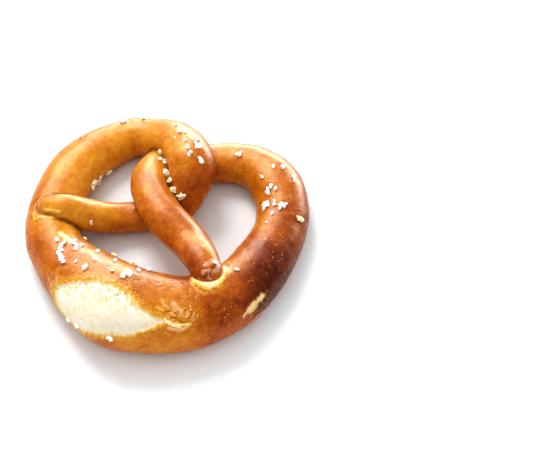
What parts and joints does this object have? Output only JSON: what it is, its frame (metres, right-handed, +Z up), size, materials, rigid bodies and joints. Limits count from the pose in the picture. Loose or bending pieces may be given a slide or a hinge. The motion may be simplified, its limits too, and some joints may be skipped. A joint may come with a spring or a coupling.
{
  "type": "bavarian pretzel",
  "caption": "Soft baked pretzel: a dough rope with a thick burst belly and thin crossed arms, lying flat, with a lye-brown glossy crust and coarse salt.",
  "frame": {"origin": "on the table, below the middle of the pretzel's box", "axes": "+Z up from the table, +Y from the thick belly to the two lobes, +X to the right seen from the belly's side"},
  "size_m": [0.1455, 0.1437, 0.0363],
  "materials": {
    "crust": null
  },
  "bodies": {
    "root": {"pretzel": "crust"}
  },
  "joints": []
}
